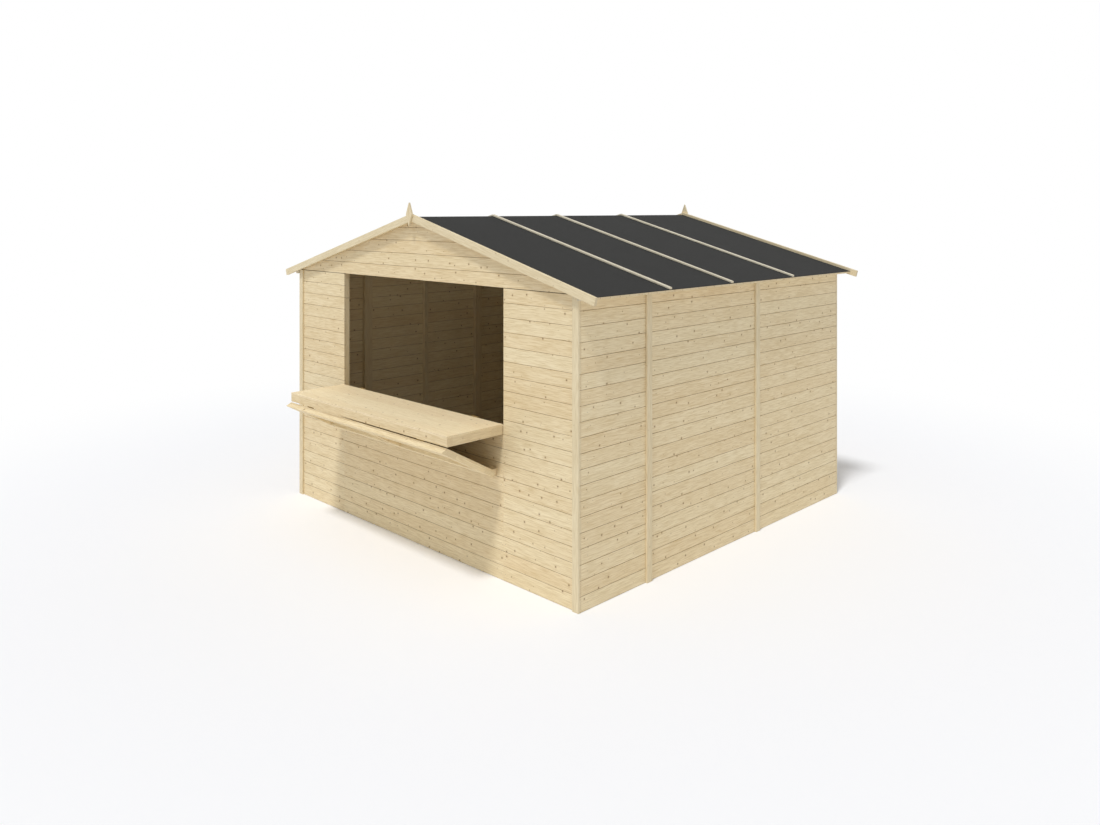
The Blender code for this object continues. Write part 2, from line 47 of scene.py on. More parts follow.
SIDE_WALL_RISE = 0.006
TOUCH = 0.0003

# Share of a course that is too thin to count
SLIVER = 0.01

# Roof
PITCH = 0.2695
ROOF_BOARD = 0.011
ROOF_COURSES = 36
BATTENS = 3

# Folding leaves
COUNTER_BOARD = 0.012
COUNTER_REAR_RAIL = 0.090
COUNTER_EDGE_RAIL = 0.040
COUNTER_BOARDS = 5
COUNTER_CHAMFER = 0.0003
COUNTER_SEAM = 0.12
PROP_SLOPE = math.radians(29)
PROP_BOARD = 0.012
PROP_FRAME = 0.026
PROP_RAIL = 0.090
PROP_STILE = 0.072
PROP_LENGTH = 0.430
PROP_BEVEL = math.radians(35)
PROP_BOARDS = 5
PROP_SEAM = 0.35
PROP_SET_BACK = 0.002
HINGE_RADIUS = 0.003

# Eased arrises
EDGE = 0.0011
BATTEN_EDGE = 0.003
FELT_EDGE = 0.0006
EDGE_SEGMENTS = 2
ARRIS = math.radians(25)

# What counts as the same place, as on a gable's base, as flat and as square on
SAME_PLACE = 1e-6
ON_BASE = 1e-5
FLAT = math.radians(0.5)
SQUARE_ON = 0.9

# Heights of a top line and a ridge that cut no board
NO_TOP = 100.0
NO_APEX = 1000.0

# Nails
NAIL_HEAD = 0.0016
NAIL_PROUD = 0.0003
NAIL_SIDES = 8
NAIL_DRIFT = (0.003, 0.0, 0.004)

# Knots, whose core, ring and bend of the grain start and end at these numbers of radii
KNOT_SPACING = 0.105
KNOT_SCATTER = 0.95
KNOT_RADII = (0.0016, 0.0062)
KNOT_SIZES = (0.0, 0.5)
KNOT_FRAY = 0.02
FRAY_SCALE = 260.0
CORE_SPAN = (1.0, 0.4)
RING_SPAN = (2.4, 0.9)
BEND_SPAN = (5.0, 0.5)
KNOT_BEND = (0.0, 0.005)
CORE_COLOUR = "#65492f"
CORE_STRENGTH = 0.82
RING_COLOUR = "#b08b58"
RING_STRENGTH = 0.3

# Grain, whose scales count lines a metre along it, across it and into the wood
GRAIN_SHIFT = 40.0
WANDER = 0.024
WANDER_SCALES = (1.3, 1.0, 1.0)
WANDER_SCALE = 4.0
LINE_SCALES = (2.2, 170.0, 60.0)
LINE_RANGE = (0.42, 0.68)
LINE_STRENGTH = 0.35
LINE_HEIGHT = 0.5
FIBRE_SCALES = (12.0, 250.0, 250.0)
FLECK_RANGE = (0.4, 0.68)
FLECK_STRENGTH = 0.72
PATCH_SCALES = (3.5, 16.0, 1.0)
PATCH_RANGE = (0.35, 0.7)
PATCH_STRENGTH = 0.18
GRAIN_BUMP = {"Strength": 0.35, "Distance": 0.0003}

# Cut ends and joints between boards
END_COLOURS = ("#dccbaa", "#bba57f")
END_RINGS = 330.0
END_RANGE = (0.35, 0.65)
END_STRENGTH = 0.4
JOINT_COLOUR = "#76542b"
JOINT_RANGE = (0.3, 0.6)
JOINT_STRENGTHS = (0.6, 0.95)

# How far a board's tone shifts its hue, saturation and value
NEUTRAL_HUE = 0.5
TONE_HUE = -0.003
TONE_SATURATION = 0.05
TONE_VALUE = -0.024

# Sheen of pine
PINE_WEAR = 0.14
PINE_SPECULAR = 0.3

# Felt
FELT_COLOURS = ("#212121", "#383836")
FELT_CLOUD = "#323231"
GRANULES = 700.0
CLOUD_SCALE = 5.0
CLOUD_DETAIL = 5.0
CLOUD_RANGE = (0.3, 0.75)
CLOUD_STRENGTH = 0.35
FELT_ROUGHNESS = 0.93
FELT_SPECULAR = 0.2
FELT_BUMP = {"Strength": 0.6, "Distance": 0.0006}

# Metal
ZINC_COLOURS = ("#8f7446", "#b49a66")
ZINC_CLOUDS = 90.0
ZINC_DETAIL = 3.0
ZINC_ROUGHNESS = 0.42
ZINC_DULLING = 0.2
NAIL_COLOURS = ("#6d675e", "#8d877b")
NAIL_CLOUDS = 400.0
NAIL_METALLIC = 0.7
NAIL_ROUGHNESS = 0.5

# View, placed in the stall's plan
CAMERA_PLACE = (6.4846, -3.6879, 2.2659)
CAMERA_TURN = 0.783
CAMERA_LENS = 29.38
CAMERA_SENSOR = 36.0
CAMERA_SHIFT_Y = -0.1844
CAMERA_END = 200.0

# Floor
FLOOR_REACH = 60.0
FLOOR_DROP = 0.0005
FLOOR_FADE = (3.0, 6.5)
FLOOR_COLOURS = ("#f8f9fc", "#f9fafd")
FLOOR_CLOUDS = 0.4

# Light
WHITE = (1, 1, 1, 1)
SKY_LIGHT = 0.505
KEY_LIGHT = 1.72
KEY_SPREAD = math.radians(9)
KEY_HEADING = (-0.15, 0.49, -1.0)

# Chance
SEED = 20
SEEDS = (1, 9999)
TONE_SEED_STEP = 500.0

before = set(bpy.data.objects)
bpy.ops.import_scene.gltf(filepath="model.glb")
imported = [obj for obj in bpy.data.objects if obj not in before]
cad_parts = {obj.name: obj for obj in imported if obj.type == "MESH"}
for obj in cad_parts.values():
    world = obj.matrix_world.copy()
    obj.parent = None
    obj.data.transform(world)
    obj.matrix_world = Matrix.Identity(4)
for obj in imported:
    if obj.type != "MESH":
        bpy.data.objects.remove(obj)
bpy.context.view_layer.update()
chance = random.Random(SEED)

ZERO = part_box("front_wall_left")[0]
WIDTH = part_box("rear_wall")[1].x - ZERO.x
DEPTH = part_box("rear_wall")[1].y - ZERO.y
MIDDLE = WIDTH / 2
SLOPE = math.atan(PITCH)


def plan_box(node):
    """Corners of a CAD node in the plan."""
    low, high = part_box(node)
    return low - ZERO, high - ZERO


WALL_TOP = plan_box("rear_wall")[1].z
SIDE_TOP = WALL_TOP + SIDE_WALL_RISE
SILL = plan_box("front_wall_below_hatch")[1].z
HATCH_LEFT = plan_box("front_wall_below_hatch")[0].x
HATCH_RIGHT = plan_box("front_wall_below_hatch")[1].x
GABLE_BASE = plan_box("front_gable")[0].z
SEAT_APEX = SIDE_TOP + MIDDLE * PITCH
COUNTER_FRONT = plan_box("counter")[0].y
COUNTER_BACK = plan_box("counter")[1].y
COUNTER_BOTTOM = plan_box("counter")[0].z
COUNTER_TOP = plan_box("counter")[1].z

AXES = {"x": Vector((1, 0, 0)), "y": Vector((0, 1, 0)), "z": Vector((0, 0, 1))}
STILL = Matrix.Identity(4)


# Colours and nodes


def linear(code):
    """Linear colour of an sRGB hex code."""
    values = [int(code[place : place + 2], 16) / 255 for place in (1, 3, 5)]
    return (*[v / 12.92 if v <= 0.04045 else ((v + 0.055) / 1.055) ** 2.4 for v in values], 1.0)


def add_node(tree, kind, inputs=None, **settings):
    """Add a node, give its settings, and set or link its inputs by name or number."""
    node = tree.nodes.new(kind)
    for name, value in settings.items():
        setattr(node, name, value)
    for name, value in (inputs or {}).items():
        if isinstance(value, bpy.types.NodeSocket):
            tree.links.new(value, node.inputs[name])
        else:
            node.inputs[name].default_value = value
    return node


def calc(tree, operation, first, second=0.0, third=None):
    """Output of a math node."""
    inputs = {0: first, 1: second}
    if third is not None:
        inputs[2] = third
    return add_node(tree, "ShaderNodeMath", inputs, operation=operation).outputs[0]


def vector_of(tree, x, y, z):
    """Output of a node that joins three numbers."""
    return add_node(tree, "ShaderNodeCombineXYZ", {0: x, 1: y, 2: z}).outputs[0]


def scaled(tree, values, scales):
    """Output of a node that joins three numbers, each times its scale."""
    pairs = zip(values, scales)
    return vector_of(tree, *[calc(tree, "MULTIPLY", value, scale) for value, scale in pairs])


def length_of(tree, vector):
    """Length of a vector."""
    return add_node(tree, "ShaderNodeVectorMath", {0: vector}, operation="LENGTH").outputs["Value"]


def noise(tree, place, scale=1.0, detail=2.0, roughness=0.5):
    """Output of a noise texture."""
    inputs = {"Vector": place, "Scale": scale, "Detail": detail, "Roughness": roughness}
    return add_node(tree, "ShaderNodeTexNoise", inputs).outputs["Fac"]


def mix_colour(tree, factor, first, second):
    """Output of a colour mix."""
    inputs = {0: factor, 6: first, 7: second}
    return add_node(tree, "ShaderNodeMix", inputs, data_type="RGBA").outputs[2]


def mix_pair(tree, factor, codes):
    """Output of a mix of two hex codes."""
    return mix_colour(tree, factor, *[linear(code) for code in codes])


def spread(tree, value, low, high, to_low=0.0, to_high=1.0):
    """A number's range stretched to another, smoothly, and held at its ends."""
    node = add_node(
        tree,
        "ShaderNodeMapRange",
        {"Value": value, "From Min": low, "From Max": high, "To Min": to_low, "To Max": to_high},
        interpolation_type="SMOOTHSTEP",
    )
    return node.outputs[0]


def new_material(name):
    """A material, its node tree and its shader."""
    material = bpy.data.materials.new(name)
    material.use_nodes = True
    tree = material.node_tree
    return material, tree, tree.nodes["Principled BSDF"]


def object_place(tree):
    """Where a point is on its object."""
    return add_node(tree, "ShaderNodeTexCoord").outputs["Object"]


def knot_marks(tree, along, across):
    """Masks of a knot's core and of the ring round it, and how far it bends the grain."""
    flat = vector_of(tree, along, across, 0.0)
    cells = add_node(
        tree,
        "ShaderNodeTexVoronoi",
        {"Vector": flat, "Scale": 1 / KNOT_SPACING, "Randomness": KNOT_SCATTER},
        voronoi_dimensions="2D",
    )
    pick = add_node(tree, "ShaderNodeSeparateColor", {0: cells.outputs["Color"]})
    size = calc(tree, "MULTIPLY", pick.outputs[0], pick.outputs[1])
    radius = spread(tree, size, *KNOT_SIZES, *[radius / KNOT_SPACING for radius in KNOT_RADII])
    frayed = noise(tree, flat, FRAY_SCALE)
    away = calc(tree, "MULTIPLY_ADD", frayed, KNOT_FRAY, cells.outputs["Distance"])
    share = calc(tree, "DIVIDE", calc(tree, "SUBTRACT", away, KNOT_FRAY / 2), radius)
    core = spread(tree, share, *CORE_SPAN)
    ring = spread(tree, share, *RING_SPAN)
    bend = spread(tree, share, *BEND_SPAN, *KNOT_BEND)
    return core, ring, bend


def pine(name, pale, late, knots=1.0, roughness=0.62):
    """Sawn or planed pine, from a timber's own grain coordinates, tone, joints and cut ends."""
    material, tree, shader = new_material(name)
    grain = add_node(tree, "ShaderNodeAttribute", attribute_name="grain").outputs["Vector"]
    tone, seam, cut = (
        add_node(tree, "ShaderNodeAttribute", attribute_name=kind).outputs["Fac"]
        for kind in ("tone", "seam", "cut_end")
    )
    along, across, deep = add_node(tree, "ShaderNodeSeparateXYZ", {0: grain}).outputs
    core, ring, bend = knot_marks(tree, along, across)

    # Growth lines about 6 mm apart wander over a board and part round its knots.
    slow = noise(tree, scaled(tree, (along, across, deep), WANDER_SCALES), WANDER_SCALE)
    wandered = calc(tree, "ADD", across, calc(tree, "MULTIPLY", slow, WANDER))
    parted = calc(tree, "ADD", wandered, bend)
    lines_at = scaled(tree, (along, parted, deep), LINE_SCALES)
    lines = noise(tree, lines_at, detail=3.0, roughness=0.6)
    # Fibres are under 1 mm wide, too fine for the render, so these streaks are 4 mm.
    fibres = noise(tree, scaled(tree, (along, across, deep), FIBRE_SCALES), detail=3.0)
    patches = noise(tree, scaled(tree, (along, across, deep), PATCH_SCALES))

    base = linear(pale)
    for mask, strength, colour in (
        (spread(tree, lines, *LINE_RANGE), LINE_STRENGTH, late),
        (spread(tree, fibres, *FLECK_RANGE), FLECK_STRENGTH, late),
        (spread(tree, patches, *PATCH_RANGE), PATCH_STRENGTH, late),
        (ring, RING_STRENGTH * knots, RING_COLOUR),
        (core, CORE_STRENGTH * knots, CORE_COLOUR),
    ):
        base = mix_colour(tree, calc(tree, "MULTIPLY", mask, strength), base, linear(colour))

    # Sawn ends show the rings edge on, 3 mm apart, a little darker than the faces.
    out = length_of(tree, vector_of(tree, 0.0, across, deep))
    years = noise(tree, vector_of(tree, calc(tree, "MULTIPLY", out, END_RINGS), 0.0, 0.0))
    sawn = mix_pair(tree, spread(tree, years, *END_RANGE), END_COLOURS)
    base = mix_colour(tree, calc(tree, "MULTIPLY", cut, END_STRENGTH), base, sawn)

    # Dust, and painted shade standing in for the shadow in the grooves, darken the joints, more at some
    # places than at others.
    dust_and_shade = spread(tree, patches, *JOINT_RANGE, *JOINT_STRENGTHS)
    base = mix_colour(tree, calc(tree, "MULTIPLY", seam, dust_and_shade), base, linear(JOINT_COLOUR))
    toned = add_node(
        tree,
        "ShaderNodeHueSaturation",
        {
            "Hue": calc(tree, "MULTIPLY_ADD", tone, TONE_HUE, NEUTRAL_HUE),
            "Saturation": calc(tree, "MULTIPLY_ADD", tone, TONE_SATURATION, 1.0),
            "Value": calc(tree, "MULTIPLY_ADD", tone, TONE_VALUE, 1.0),
            "Color": base,
        },
    )
    tree.links.new(toned.outputs[0], shader.inputs["Base Color"])
    worn = calc(tree, "MULTIPLY_ADD", fibres, PINE_WEAR, roughness - PINE_WEAR / 2)
    tree.links.new(worn, shader.inputs["Roughness"])
    shader.inputs["Specular IOR Level"].default_value = PINE_SPECULAR
    height = calc(tree, "MULTIPLY_ADD", lines, LINE_HEIGHT, fibres)
    bump = add_node(tree, "ShaderNodeBump", {**GRAIN_BUMP, "Height": height})
    tree.links.new(bump.outputs[0], shader.inputs["Normal"])
    return material


def mineral_felt():
    """Bitumen felt faced with slate granules: charcoal, matt, faintly speckled and clouded."""
    material, tree, shader = new_material("mineral_roofing_felt")
    place = object_place(tree)
    # Granules are drawn about 1.4 mm across.
    grit = add_node(tree, "ShaderNodeTexVoronoi", {"Vector": place, "Scale": GRANULES})
    shade = add_node(tree, "ShaderNodeSeparateColor", {0: grit.outputs["Color"]}).outputs[0]
    base = mix_pair(tree, shade, FELT_COLOURS)
    clouds = spread(tree, noise(tree, place, CLOUD_SCALE, CLOUD_DETAIL), *CLOUD_RANGE)
    clouds = calc(tree, "MULTIPLY", clouds, CLOUD_STRENGTH)
    base = mix_colour(tree, clouds, base, linear(FELT_CLOUD))
    tree.links.new(base, shader.inputs["Base Color"])
    shader.inputs["Roughness"].default_value = FELT_ROUGHNESS
    shader.inputs["Specular IOR Level"].default_value = FELT_SPECULAR
    bump = add_node(tree, "ShaderNodeBump", {**FELT_BUMP, "Height": grit.outputs["Distance"]})
    tree.links.new(bump.outputs[0], shader.inputs["Normal"])
    return material


def passivated_zinc():
    """Zinc plate with a yellow chromate wash: straw-coloured metal, dull and a little cloudy."""
    material, tree, shader = new_material("yellow_passivated_zinc_plate")
    clouds = noise(tree, object_place(tree), ZINC_CLOUDS, ZINC_DETAIL)
    tree.links.new(mix_pair(tree, clouds, ZINC_COLOURS), shader.inputs["Base Color"])
    shader.inputs["Metallic"].default_value = 1.0
    rough = calc(tree, "MULTIPLY_ADD", clouds, ZINC_DULLING, ZINC_ROUGHNESS)
    tree.links.new(rough, shader.inputs["Roughness"])
    return material


def nail_steel():
    """Plain steel of driven nail heads: small grey dots, neither bright nor rusty."""
    material, tree, shader = new_material("plain_steel_nail_heads")
    clouds = noise(tree, object_place(tree), NAIL_CLOUDS)
    tree.links.new(mix_pair(tree, clouds, NAIL_COLOURS), shader.inputs["Base Color"])
    shader.inputs["Metallic"].default_value = NAIL_METALLIC
    shader.inputs["Roughness"].default_value = NAIL_ROUGHNESS
    return material


# Planed boarding: creamy, with straight fine grain and a scatter of small brown knots.
CLAD = pine("planed_pine_cladding", "#f0dfba", "#d3bb8d")
# Planed strips are cut from cleaner wood, so they are even in tone and nearly free of knots.
TRIM = pine("planed_pine_trim", "#eadcbb", "#d3c19a", knots=0.35)
# The counter's boards are the palest and smoothest, with a satin look from sanding.
COUNTER = pine("sanded_pine_counter", "#fdecc8", "#e5d0a5", knots=0.8, roughness=0.55)
# Battens and eave strips on the roof are bleached wood, greyer than the walls.
BATTEN = pine("bleached_pine_batten", "#e2dac5", "#c2b8a0", knots=0.0, roughness=0.7)
# Sawn frame timber is duller and rougher than the boards nailed to it.
ROUGH = pine("sawn_pine_frame", "#e6d5b1", "#cfb98f", knots=0.35, roughness=0.78)
FELT = mineral_felt()
ZINC = passivated_zinc()
NAIL = nail_steel()


# Courses of boards


def tree_inputs(tree, wanted):
    """Make the sockets of a node tree, and return its input node."""
    tree.interface.new_socket("Geometry", in_out="OUTPUT", socket_type="NodeSocketGeometry")
    for name, kind, value in wanted:
        socket = tree.interface.new_socket(name, in_out="INPUT", socket_type=kind)
        if value is not None:
            socket.default_value = value
    return tree.nodes.new("NodeGroupInput")


def store(tree, geometry, name, kind, value, domain="POINT"):
    """Geometry with a named attribute stored on it."""
    node = add_node(
        tree,
        "GeometryNodeStoreNamedAttribute",
        {"Geometry": geometry, "Name": name, "Value": value},
        data_type=kind,
        domain=domain,
    )
    return node.outputs[0]


def position(tree):
    """The three parts of where each point is."""
    place = add_node(tree, "GeometryNodeInputPosition").outputs[0]
    return add_node(tree, "ShaderNodeSeparateXYZ", {0: place}).outputs


def courses_tree():
    """Boards one above another, chamfered on the face, cut to a top line and to a roof's slope."""
    tree = bpy.data.node_groups.new("board_courses", "GeometryNodeTree")
    number = "NodeSocketFloat"
    given = tree_inputs(
        tree,
        [
            ("Length", number, None),
            ("Course", number, None),
            ("Depth", number, CLADDING),
            ("Count", "NodeSocketInt", None),
            ("Chamfer Height", number, CHAMFER_HEIGHT),
            ("Chamfer Depth", number, CHAMFER_DEPTH),
            ("Base", number, 0.0),
            ("Top", number, NO_TOP),
            ("Rise", number, 0.0),
            ("Apex", number, NO_APEX),
            ("Seam", number, 1.0),
            ("Seed", "NodeSocketInt", None),
            ("Material", "NodeSocketMaterial", None),
        ],
    )
    value = given.outputs
    half_course = calc(tree, "DIVIDE", value["Course"], 2.0)
    cube = add_node(
        tree,
        "GeometryNodeMeshCube",
        {
            "Size": vector_of(tree, value["Length"], value["Depth"], value["Course"]),
            "Vertices X": 2,
            "Vertices Y": 2,
            "Vertices Z": 4,
        },
    )
    x, y, z = position(tree)
    # A board has four rows of points, and the outer two are its edges.
    between_rows = calc(tree, "DIVIDE", value["Course"], 3.0)
    is_edge = calc(tree, "GREATER_THAN", calc(tree, "ABSOLUTE", z), between_rows)
    is_front = calc(tree, "LESS_THAN", y, 0.0)
    is_groove = calc(tree, "MULTIPLY", is_edge, is_front)
    # The edge rows carry the seam weight, which the pine material darkens with dust and painted shade.
    board = store(
        tree, cube.outputs[0], "seam", "FLOAT", calc(tree, "MULTIPLY", is_edge, value["Seam"])
    )
    inset = calc(
        tree, "MULTIPLY", calc(tree, "SUBTRACT", 1.0, is_edge), value["Chamfer Height"]
    )
    new_z = calc(tree, "MULTIPLY", calc(tree, "SIGN", z), calc(tree, "SUBTRACT", half_course, inset))
    new_y = calc(tree, "ADD", y, calc(tree, "DIVIDE", value["Depth"], 2.0))
    new_y = calc(tree, "MULTIPLY_ADD", is_groove, value["Chamfer Depth"], new_y)
    board = add_node(
        tree, "GeometryNodeSetPosition", {"Geometry": board, "Position": vector_of(tree, x, new_y, new_z)}
    )
    line = add_node(
        tree,
        "GeometryNodeMeshLine",
        {
            "Count": value["Count"],
            "Start Location": vector_of(
                tree, calc(tree, "DIVIDE", value["Length"], 2.0), 0.0, half_course
            ),
            "Offset": vector_of(tree, 0.0, 0.0, value["Course"]),
        },
    )
    placed = add_node(
        tree,
        "GeometryNodeInstanceOnPoints",
        {"Points": line.outputs[0], "Instance": board.outputs[0]},
    )
    index = add_node(tree, "GeometryNodeInputIndex").outputs[0]
    numbered = store(tree, placed.outputs[0], "board", "INT", index, "INSTANCE")
    real = add_node(tree, "GeometryNodeRealizeInstances", {0: numbered})
    x, y, z = position(tree)
    cut = calc(tree, "MINIMUM", z, calc(tree, "MULTIPLY_ADD", y, value["Rise"], value["Top"]))
    cut = calc(tree, "MAXIMUM", calc(tree, "MINIMUM", cut, value["Apex"]), value["Base"])
    middle = calc(tree, "DIVIDE", value["Length"], 2.0)
    reach = calc(tree, "DIVIDE", calc(tree, "SUBTRACT", value["Apex"], cut), PITCH)
    off = calc(tree, "SUBTRACT", x, middle)
    off = calc(tree, "MAXIMUM", calc(tree, "MINIMUM", off, reach), calc(tree, "MULTIPLY", reach, -1.0))
    cut_x = calc(tree, "ADD", middle, off)
    shaped = add_node(
        tree,
        "GeometryNodeSetPosition",
        {"Geometry": real.outputs[0], "Position": vector_of(tree, cut_x, y, cut)},
    )
    x, y, z = position(tree)
    board_number = add_node(
        tree, "GeometryNodeInputNamedAttribute", {"Name": "board"}, data_type="INT"
    ).outputs[0]
    shift = add_node(
        tree,
        "FunctionNodeRandomValue",
        {
            "Min": (0.0, 0.0, 0.0),
            "Max": (GRAIN_SHIFT, GRAIN_SHIFT, GRAIN_SHIFT),
            "ID": board_number,
            "Seed": value["Seed"],
        },
        data_type="FLOAT_VECTOR",
    )
    grain = add_node(
        tree,
        "ShaderNodeVectorMath",
        {0: vector_of(tree, x, z, y), 1: shift.outputs[0]},
        operation="ADD",
    )
    out = store(tree, shaped.outputs[0], "grain", "FLOAT_VECTOR", grain.outputs[0])
    tone = add_node(
        tree,
        "FunctionNodeRandomValue",
        {
            2: -1.0,
            3: 1.0,
            "ID": board_number,
            "Seed": calc(tree, "ADD", value["Seed"], TONE_SEED_STEP),
        },
        data_type="FLOAT",
    )
    out = store(tree, out, "tone", "FLOAT", tone.outputs[1])
    normal = add_node(tree, "GeometryNodeInputNormal").outputs[0]
    sideways = add_node(tree, "ShaderNodeSeparateXYZ", {0: normal}).outputs[0]
    is_end = calc(tree, "GREATER_THAN", calc(tree, "ABSOLUTE", sideways), SQUARE_ON)
    out = store(tree, out, "cut_end", "FLOAT", is_end, "FACE")
    out = add_node(tree, "GeometryNodeSetMaterial", {"Geometry": out, "Material": value["Material"]})
    end = tree.nodes.new("NodeGroupOutput")
    tree.links.new(out.outputs[0], end.inputs[0])
    return tree


def nails_tree():
    """A grid of small round nail heads, standing just proud of the boards."""
    tree = bpy.data.node_groups.new("nail_heads", "GeometryNodeTree")
    given = tree_inputs(
        tree,
        [
            ("Columns", "NodeSocketInt", None),
            ("Spacing", "NodeSocketFloat", None),
            ("Rows", "NodeSocketInt", None),
            ("Seed", "NodeSocketInt", None),
            ("Material", "NodeSocketMaterial", None),
        ],
    )
    value = given.outputs
    line = add_node(
        tree,
        "GeometryNodeMeshLine",
        {"Count": value["Columns"], "Offset": vector_of(tree, value["Spacing"], 0.0, 0.0)},
    )
    rows = add_node(
        tree,
        "GeometryNodeMeshLine",
        {"Count": value["Rows"], "Offset": (0.0, 0.0, COURSE)},
    )
    grid = add_node(
        tree, "GeometryNodeInstanceOnPoints", {"Points": line.outputs[0], "Instance": rows.outputs[0]}
    )
    points = add_node(tree, "GeometryNodeRealizeInstances", {0: grid.outputs[0]})
    jitter = add_node(
        tree,
        "FunctionNodeRandomValue",
        {"Min": [-far for far in NAIL_DRIFT], "Max": NAIL_DRIFT, "Seed": value["Seed"]},
        data_type="FLOAT_VECTOR",
    )
    moved = add_node(
        tree, "GeometryNodeSetPosition", {"Geometry": points.outputs[0], "Offset": jitter.outputs[0]}
    )
    head = add_node(
        tree,
        "GeometryNodeMeshCylinder",
        {"Vertices": NAIL_SIDES, "Radius": NAIL_HEAD, "Depth": NAIL_PROUD * 2},
    )
    placed = add_node(
        tree,
        "GeometryNodeInstanceOnPoints",
        {
            "Points": moved.outputs[0],
            "Instance": head.outputs[0],
            "Rotation": (math.pi / 2, 0.0, 0.0),
        },
    )
    real = add_node(tree, "GeometryNodeRealizeInstances", {0: placed.outputs[0]})
    out = add_node(
        tree, "GeometryNodeSetMaterial", {"Geometry": real.outputs[0], "Material": value["Material"]}
    )
    end = tree.nodes.new("NodeGroupOutput")
    tree.links.new(out.outputs[0], end.inputs[0])
    return tree


def grow(tree, values):
    """Plain mesh of a node tree with these inputs."""
    carrier = bpy.data.objects.new("carrier", bpy.data.meshes.new("carrier"))
    bpy.context.scene.collection.objects.link(carrier)
    modifier = carrier.modifiers.new("grow", "NODES")
    modifier.node_group = tree
    for item in tree.interface.items_tree:
        if item.in_out == "INPUT" and item.name in values:
            modifier[item.identifier] = values[item.name]
    graph = bpy.context.evaluated_depsgraph_get()
    mesh = bpy.data.meshes.new_from_object(
        carrier.evaluated_get(graph), preserve_all_data_layers=True, depsgraph=graph
    )
    bpy.data.objects.remove(carrier)
    return mesh


COURSES = courses_tree()
NAILS = nails_tree()


def wall_matrix(corner, turn):
    """Matrix from a wall's own layout, seen from outside with its left end at zero, to the plan."""
    return Matrix.Translation(corner) @ Matrix.Rotation(turn, 4, "Z")


def axes_matrix(corner, x_axis, y_axis):
    """Matrix from a layout with these axes and that corner to the plan."""
    z_axis = x_axis.cross(y_axis)
    turn = Matrix((x_axis, y_axis, z_axis)).transposed().to_4x4()
    return Matrix.Translation(corner) @ turn


class Piece:
    """Meshes gathered in the plan and made one visible piece."""

    def __init__(self, mesh=None):
        self.mesh = bmesh.new() if mesh is None else mesh

    def take(self, data, matrix):
        """Add a plain mesh, placed by a matrix, and drop it."""
        data.transform(matrix)
        self.mesh.from_mesh(data)
        bpy.data.meshes.remove(data)

    def done(self, name, body, slot, material, *nodes):
        """Make the object, have it ride on its body, and hide the CAD nodes it stands for."""
        bmesh.ops.dissolve_degenerate(self.mesh, edges=self.mesh.edges, dist=SAME_PLACE)
        bmesh.ops.translate(self.mesh, verts=self.mesh.verts, vec=ZERO)
        data = bpy.data.meshes.new(name)
        self.mesh.to_mesh(data)
        self.mesh.free()
        data.materials.clear()
        data.materials.append(material)
        piece = bpy.data.objects.new(name, data)
        bpy.context.scene.collection.objects.link(piece)
        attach(piece, body)
        if nodes:
            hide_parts(*nodes)
        return piece


def add_courses(piece, matrix, length, course, count, shape=None, **values):
    """Add boards to a piece. Names of values are the tree's inputs with _ for a space."""
    inputs = {name.replace("_", " ").title(): value for name, value in values.items()}
    inputs.update(
        {
            "Length": length,
            "Course": course,
            "Count": count,
            "Seed": chance.randrange(*SEEDS),
        }
    )
    inputs.setdefault("Material", CLAD)
    data = grow(COURSES, inputs)
    if shape is not None:
        for vert in data.vertices:
            vert.co = shape(vert.co)
    piece.take(data, matrix)


# Single timbers


def grain_layers(mesh):
    """The layers that a timber's place in its log, its tone and its cut ends are kept in."""
    layers = mesh.verts.layers
    grain = layers.float_vector.get("grain") or layers.float_vector.new("grain")
    tone = layers.float.get("tone") or layers.float.new("tone")
    if layers.float.get("seam") is None:
        layers.float.new("seam")
    faces = mesh.faces.layers.float
    cut = faces.get("cut_end") or faces.new("cut_end")
    return grain, tone, cut


def soften(mesh, width=EDGE):
    """Ease the arrises of a timber to a round."""
    edges = [edge for edge in mesh.edges if edge.is_manifold and edge.calc_face_angle() > ARRIS]
    bmesh.ops.bevel(
        mesh, geom=edges, offset=width, segments=EDGE_SEGMENTS, profile=0.5, affect="EDGES"
    )


def any_shift():
    """A random place in a log for a timber to be cut from."""
    return Vector([chance.uniform(0, GRAIN_SHIFT) for _ in range(3)])


def mark_grain(mesh, along, face):
    """Write a timber's grain, along one direction, with its broad face square to another."""
    grain, tone, cut = grain_layers(mesh)
    mesh.normal_update()
    across = along.cross(face).normalized()
    shift = any_shift()
    shade = chance.uniform(-1, 1)
    for vert in mesh.verts:
        place = Vector((vert.co.dot(along), vert.co.dot(across), vert.co.dot(face)))
        vert[grain] = place + shift
        vert[tone] = shade
    for side in mesh.faces:
        side[cut] = float(abs(side.normal.dot(along)) > SQUARE_ON)


def finish_timber(piece, mesh, matrix, along, face):
    """Ease a timber's arrises, give it its grain, and add it to a piece."""
    grain_layers(mesh)
    soften(mesh)
    mark_grain(mesh, along.normalized(), face)
    data = bpy.data.meshes.new("timber")
    mesh.to_mesh(data)
    mesh.free()
    piece.take(data, matrix)


def add_timber(piece, matrix, low, high, along="x", face="y"):
    """Add a timber that fills the box between two corners."""
    mesh = bmesh.new()
    bmesh.ops.create_cube(mesh, size=1.0)
    size = Vector(high) - Vector(low)
    middle = (Vector(high) + Vector(low)) / 2
    for vert in mesh.verts:
        vert.co = Vector([vert.co[n] * size[n] + middle[n] for n in range(3)])
    finish_timber(piece, mesh, matrix, AXES[along], AXES[face])


